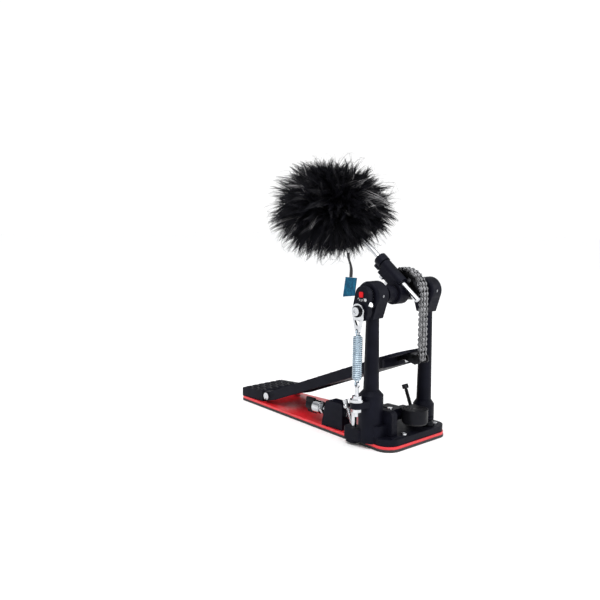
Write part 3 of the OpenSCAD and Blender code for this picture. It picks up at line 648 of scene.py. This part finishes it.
def link_shape(outer):
    """One link of the double chain: its plates, with pins or with rollers."""
    shape = Shape()
    for x0, x1 in (OUTER_PLATES if outer else INNER_PLATES):
        x0, x1 = x0 * MM, x1 * MM
        rings = []
        for x, inset in ((x0, PLATE_EDGE), (x0 + PLATE_EDGE, 0), (x1 - PLATE_EDGE, 0),
                         (x1, PLATE_EDGE)):
            rings.append([Vector((x, y, z)) for y, z in link_outline(inset)])
        shape.loops(rings)
    for z in (0, -PITCH):
        if outer:
            shape.add(rivet_shape(), Matrix.Translation((0, 0, z)) @ ACROSS)
        else:
            for x in (-ROLLER_X, ROLLER_X):
                shape.add(roller_shape(), Matrix.Translation((x * MM, 0, z)) @ ACROSS)
    return shape


def make_chain(materials):
    """Every link of the double chain, on the body that carries it."""
    chain_x = node_centre("chain_run")[0].x
    shaft_z = node_centre("drive_shaft")[0].z
    shaft = Matrix.Translation((chain_x, 0, shaft_z))
    kinds = {True: link_shape(True), False: link_shape(False)}

    def wrapped(k):
        return (shaft @ Matrix.Rotation((k + 1) * PITCH_ANGLE, 4, "X")
                @ Matrix.Translation((0, PITCH_R, 0))
                @ Matrix.Rotation(-PITCH_ANGLE / 2, 4, "X"))

    parts = {
        "chain_wrap": ("shaft", [(k % 2 == 0, wrapped(k)) for k in WRAPPED_LINKS]),
        "chain_run": ("run", [(i % 2 == 1, shaft @ Matrix.Translation((0, PITCH_R, -i * PITCH)))
                              for i in range(RUN_LINKS)]),
    }
    for k in range(LOOSE_LINKS):
        parts[f"chain_link_{k + 1}"] = (f"link_{k + 1}", [(k % 2 == 0, wrapped(k))])
    for node, (body, links) in parts.items():
        shape = Shape()
        for outer, place in links:
            shape.add(kinds[outer], place)
        made = make_object(node + "_detail", shape.points, shape.faces, materials["chain_steel"],
                           body, smooth=False)
        smooth_by_angle(made)
        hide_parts(node)


# ---------------------------------------------------------------- spring
COIL_PITCH = 2.37 * MM
COIL_R = 5.0 * MM
WIRE_R = 1.16 * MM
UPPER_WIRE_R = WIRE_R * 0.965
STEPS_PER_TURN = 22
TAPER_R = 2.4 * MM
TAPER_LENGTH = 3 * MM
OVERLAP = 5 * MM
END_TO_COILS = 6.8 * MM
HOOK_REACH = 3.8 * MM
HOOK_R = 3.0 * MM
HOOK_WIRE_R = 0.85 * MM
HOOK_STEPS = 30


def coil(low, high, taper_low, taper_high, wire, x):
    """A close helix about the spring's axis; the phase depends on height alone."""
    steps = int((high - low) / COIL_PITCH * STEPS_PER_TURN)
    path, radii = [], []
    for i in range(steps + 1):
        z = low + (high - low) * i / steps
        r = COIL_R
        if taper_low:
            r -= (COIL_R - TAPER_R) * max(0, 1 - (z - low) / TAPER_LENGTH) ** 1.5
        if taper_high:
            r -= (COIL_R - TAPER_R) * max(0, 1 - (high - z) / TAPER_LENGTH) ** 1.5
        a = TAU * z / COIL_PITCH
        path.append(Vector((x + r * math.cos(a), r * math.sin(a), z)))
        radii.append(wire)
    return path, radii


def hook(z, x, turn_up):
    """A nearly closed ring in the X-Z plane with a stem that meets the coil."""
    way = 1 if turn_up else -1
    path = []
    for i in range(HOOK_STEPS + 1):
        a = math.radians(90 * way + 15) + way * math.radians(335) * i / HOOK_STEPS
        path.append(Vector((x + HOOK_R * math.cos(a), 0, z + HOOK_R * math.sin(a))))
    last = path[-1]
    path.extend(last.lerp(Vector((x + 1.2 * MM, 0.6 * MM, z + way * 5.5 * MM)), t)
                for t in (0.35, 0.7, 1.0))
    return path, [HOOK_WIRE_R] * len(path)


def make_spring(materials):
    """Two overlapping halves of one coil: the overlap lets the spring lengthen."""
    low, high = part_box("spring")
    x = (low.x + high.x) / 2
    bottom, top = low.z + END_TO_COILS, high.z - END_TO_COILS
    middle = (bottom + top) / 2
    forward = Vector((0, 1, 0))
    lower, upper = Shape(), Shape()
    sweep(lower, *coil(bottom, middle + OVERLAP, True, False, WIRE_R, x))
    sweep(lower, *hook(low.z + HOOK_REACH, x, True), first=forward)
    sweep(upper, *coil(middle - OVERLAP, top, False, True, UPPER_WIRE_R, x))
    sweep(upper, *hook(high.z - HOOK_REACH, x, False), first=forward)
    for shape, name, body in ((lower, "spring_lower_coils", "spring"),
                              (upper, "spring_upper_coils", "stirrup")):
        made = make_object(name, shape.points, shape.faces, materials["spring_zinc"],
                           body)
        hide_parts("spring")


# ---------------------------------------------------------------- spur screws
SPUR_TILT = math.radians(22)
SPUR_HEAD = 6 * MM
SPUR_THREAD_R = 2.8 * MM
SPUR_THREAD_LOW = 4 * MM
SPUR_THREAD_PITCH = 1.9 * MM
SPUR_THREAD_DEPTH = 0.9 * MM


def make_spurs(materials):
    """Threaded spur screws with a point below and a socket head above."""
    # Both spurs are one kind of screw; the left one stands in shade, so it takes dark steel as
    # painted shade, and the right one, in the light, chrome.
    for node, slot_name in (("spur_right", "chrome"), ("spur_left", "dark_steel")):
        low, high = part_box(node)
        x = (low.x + high.x) / 2
        head_r = (high.x - low.x) / 2
        length = (high.z - low.z - head_r * math.sin(SPUR_TILT)) / math.cos(SPUR_TILT)
        neck = length - SPUR_HEAD
        shape = Shape()
        turned(shape, [(0.3 * MM, 0), (1.9 * MM, 3.2 * MM), (2.2 * MM, 4.2 * MM)], 20)
        threaded(shape, SPUR_THREAD_LOW, neck, SPUR_THREAD_R, SPUR_THREAD_PITCH,
                 SPUR_THREAD_DEPTH)
        turned(shape, [(head_r * 0.9, neck), (head_r, neck + 0.5 * MM),
                       (head_r, length - 0.6 * MM), (head_r * 0.88, length),
                       (2.3 * MM, length), (2.0 * MM, length - 2.6 * MM)], 24)
        shape.move(Matrix.Translation((x, foot_y(node), low.z))
                   @ Matrix.Rotation(SPUR_TILT, 4, "X"))
        made = make_object(node + "_thread", shape.points, shape.faces, materials[slot_name],
                           node, smooth=False)
        smooth_by_angle(made)
        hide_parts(node)


def foot_y(node):
    """Where the point of a spur stands: the mean of its lowest vertices."""
    mesh = nodes[node].data
    low = min(v.co.z for v in mesh.vertices)
    near = [v.co.y for v in mesh.vertices if v.co.z < low + 0.4 * MM]
    return sum(near) / len(near)


# ---------------------------------------------------------------- ribbon and tag
# The route of the ribbon, in millimetres, as in the CAD source.
RIBBON_ROUTE = [(22, -72, 236), (22, -72, 235.2), (22.3, -71.6, 234), (22.6, -71, 232),
                (22.9, -70.3, 230), (23, -69.6, 228), (23, -69, 226), (22.8, -68.4, 224),
                (22.5, -68, 222), (22.2, -67.6, 220), (22, -67.3, 218), (21.8, -67, 216),
                (21.7, -66.8, 214), (21.8, -66.6, 212), (21.9, -66.5, 210), (22, -66.5, 208),
                (22, -66.5, 206), (22, -66.5, 204)]
STRAND_HALF_WIDTH = 1.6 * MM
STRAND_HALF_THICK = 0.22 * MM
STRAND_SWAY = 1.15 * MM
# Flat strip with softened corners, as shares of its half width and half thickness
STRAND_SECTION = ((-1, -0.6), (-0.6, -1), (0.6, -1), (1, -0.6),
                  (1, 0.6), (0.6, 1), (-0.6, 1), (-1, 0.6))


def strand_rings(path, sign):
    """Sections of one strand, which sways and twists about the route."""
    rings = []
    for i, p in enumerate(path):
        t = i / (len(path) - 1)
        shift = sign * STRAND_SWAY * math.cos(math.pi * 1.15 * t + 0.2)
        twist = 0.9 * math.sin(math.pi * t) * sign
        across = Vector((math.sin(twist) * 0.6, math.cos(twist * 0.5), 0)).normalized()
        out = Vector((across.y, -across.x, 0))
        centre = p + Vector((0, shift, 0)) + out * sign * STRAND_HALF_THICK
        rings.append([centre + across * STRAND_HALF_WIDTH * a + out * STRAND_HALF_THICK * b
                      for a, b in STRAND_SECTION])
    return rings


def make_ribbon(materials):
    """Two flat strands that cross once, and the tag that hangs from them."""
    route = [Vector(p) * MM for p in RIBBON_ROUTE]
    fine = []
    for a, b in zip(route, route[1:]):
        fine.extend(a.lerp(b, t / 3) for t in range(3))
    fine.append(route[-1])
    shape = Shape()
    for sign in (-1, 1):
        shape.loops(strand_rings(fine, sign))
    ribbon = make_object("ribbon_strands", shape.points, shape.faces, materials["ribbon"],
                         "tag")
    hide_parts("ribbon")
    tag = make_tag(materials)


# Corners of the card in Y and Z, in millimetres: top back, top front, bottom front, bottom back
TAG_CORNERS = [(-76, 204), (-55.5, 204), (-59, 180), (-80.5, 177)]
TAG_HALF_THICK = 0.55 * MM
TAG_BOW = 0.2 * MM
TAG_CELLS = 8


def make_tag(materials):
    """A skewed card tag, slightly bowed, with softened edges."""
    x = node_centre("swing_tag")[0].x
    corners = [Vector((0, y * MM, z * MM)) for y, z in TAG_CORNERS]
    middle = sum(corners, Vector()) / 4
    steps = [i / TAG_CELLS for i in range(TAG_CELLS)]
    edge = ([(s, 0.0) for s in steps] + [(1.0, s) for s in steps]
            + [(1 - s, 1.0) for s in steps] + [(0.0, 1 - s) for s in steps])

    def place(u, v, shrink, side):
        top = corners[0].lerp(corners[1], u)
        bottom = corners[3].lerp(corners[2], u)
        p = middle + (top.lerp(bottom, v) - middle) * shrink
        bow = TAG_BOW * math.sin(math.pi * u) * math.cos(2 * v)
        return Vector((x + side + bow, p.y, p.z))

    shape = Shape()
    shape.loops([[place(u, v, shrink, side * TAG_HALF_THICK) for u, v in edge]
                 for shrink, side in ((0.55, -1), (0.95, -1), (0.99, -0.6),
                                      (0.99, 0.6), (0.95, 1), (0.55, 1))])
    tag = make_object("card_tag", shape.points, shape.faces, materials["tag_card"],
                      "tag", smooth=False)
    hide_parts("swing_tag")
    return tag


# ---------------------------------------------------------------- scale marks
TICKS = 5
TICK_STEP = 22
TICK_NEAR = 5.6 * MM
TICK_FAR = 8.2 * MM
TICK_HALF_WIDTH = 0.42


def make_ticks(materials):
    """A fan of short scale marks on the rocker's face, below the dot."""
    low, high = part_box("rocker_dot")
    middle = (low + high) / 2
    face_x = high.x - 0.8 * MM
    shape = Shape()
    for i in range(TICKS):
        turn = math.radians(TICK_STEP * (i - (TICKS - 1) / 2))
        out = Vector((0, math.sin(turn), -math.cos(turn)))
        side = Vector((0, out.z, -out.y))
        near, far = middle + out * TICK_NEAR, middle + out * TICK_FAR
        rings = []
        for x, inset in ((-0.1, 0.0), (0.1, 0.0), (0.16, 0.08)):
            w, e = (TICK_HALF_WIDTH - inset) * MM, inset * MM
            rings.append([Vector((face_x + x * MM, p.y, p.z)) for p in (
                near - side * w + out * e, near + side * w + out * e,
                far + side * w - out * e, far - side * w - out * e)])
        shape.loops(rings)
    make_object("scale_ticks", shape.points, shape.faces, materials["zinc_screw"],
                "shaft", smooth=False)


# ---------------------------------------------------------------- stage
FLOOR_REACH = 12
FLOOR_Z = -0.0004
SUN_ENERGY = 0.7
SUN_ANGLE = math.radians(50)
SKY_STRENGTH = 1.05
# Sky brightness by height: white low and overhead, greyer between for the metal to show
SKY = [(0.0, (1, 1, 1)), (0.30, (1, 1, 1)), (0.40, (0.30, 0.31, 0.33)),
       (0.62, (0.34, 0.35, 0.37)), (0.80, (1.0, 1.0, 1.0))]
# Soft lights: place in metres, size in metres, power in watts
LIGHTS = [((0.9, 0.2, 1.5), 1.2, 14), ((-1.4, 1.2, 1.0), 1.2, 10), ((0.6, 1.7, 0.7), 0.8, 5)]
LIGHT_AIM = Vector((0, -0.05, 0.15))


def make_floor():
    """A plain white floor just under the sole."""
    r = FLOOR_REACH
    mesh = bpy.data.meshes.new("floor")
    mesh.from_pydata([(-r, -r, 0), (r, -r, 0), (r, r, 0), (-r, r, 0)], [], [(0, 1, 2, 3)])
    floor = bpy.data.objects.new("floor", mesh)
    bpy.context.scene.collection.objects.link(floor)
    floor.location.z = FLOOR_Z
    material, _, shader = new_material("floor")
    shader.inputs["Base Color"].default_value = (1.0, 1.0, 1.0, 1)
    shader.inputs["Roughness"].default_value = 0.9
    shader.inputs["Specular IOR Level"].default_value = 0.0
    mesh.materials.append(material)


def make_sky():
    world = bpy.data.worlds.new("world")
    bpy.context.scene.world = world
    world.use_nodes = True
    tree = world.node_tree
    back = tree.nodes["Background"]
    place = add_node(tree, "ShaderNodeTexCoord")
    split = add_node(tree, "ShaderNodeSeparateXYZ")
    tree.links.new(place.outputs["Generated"], split.inputs["Vector"])
    tree.links.new(ramp(tree, split.outputs["Z"], SKY), back.inputs["Color"])
    back.inputs["Strength"].default_value = SKY_STRENGTH


def make_lights():
    sun = bpy.data.objects.new("sun", bpy.data.lights.new("sun", "SUN"))
    bpy.context.scene.collection.objects.link(sun)
    sun.data.energy = SUN_ENERGY
    sun.data.angle = SUN_ANGLE
    for place, size, power in LIGHTS:
        light = bpy.data.objects.new("light", bpy.data.lights.new("light", "AREA"))
        bpy.context.scene.collection.objects.link(light)
        light.data.size = size
        light.data.energy = power
        light.location = place
        light.rotation_mode = "QUATERNION"
        light.rotation_quaternion = (LIGHT_AIM - Vector(place)).to_track_quat("-Z", "Y")


def make_stage():
    bpy.context.scene.view_settings.view_transform = "Standard"
    make_floor()
    make_sky()
    make_lights()


make_camera()
materials = make_materials()
make_ribbon(materials)
dress_cad_nodes(materials)
make_fur(materials)
make_chain(materials)
make_spring(materials)
make_spurs(materials)
make_ticks(materials)
make_stage()
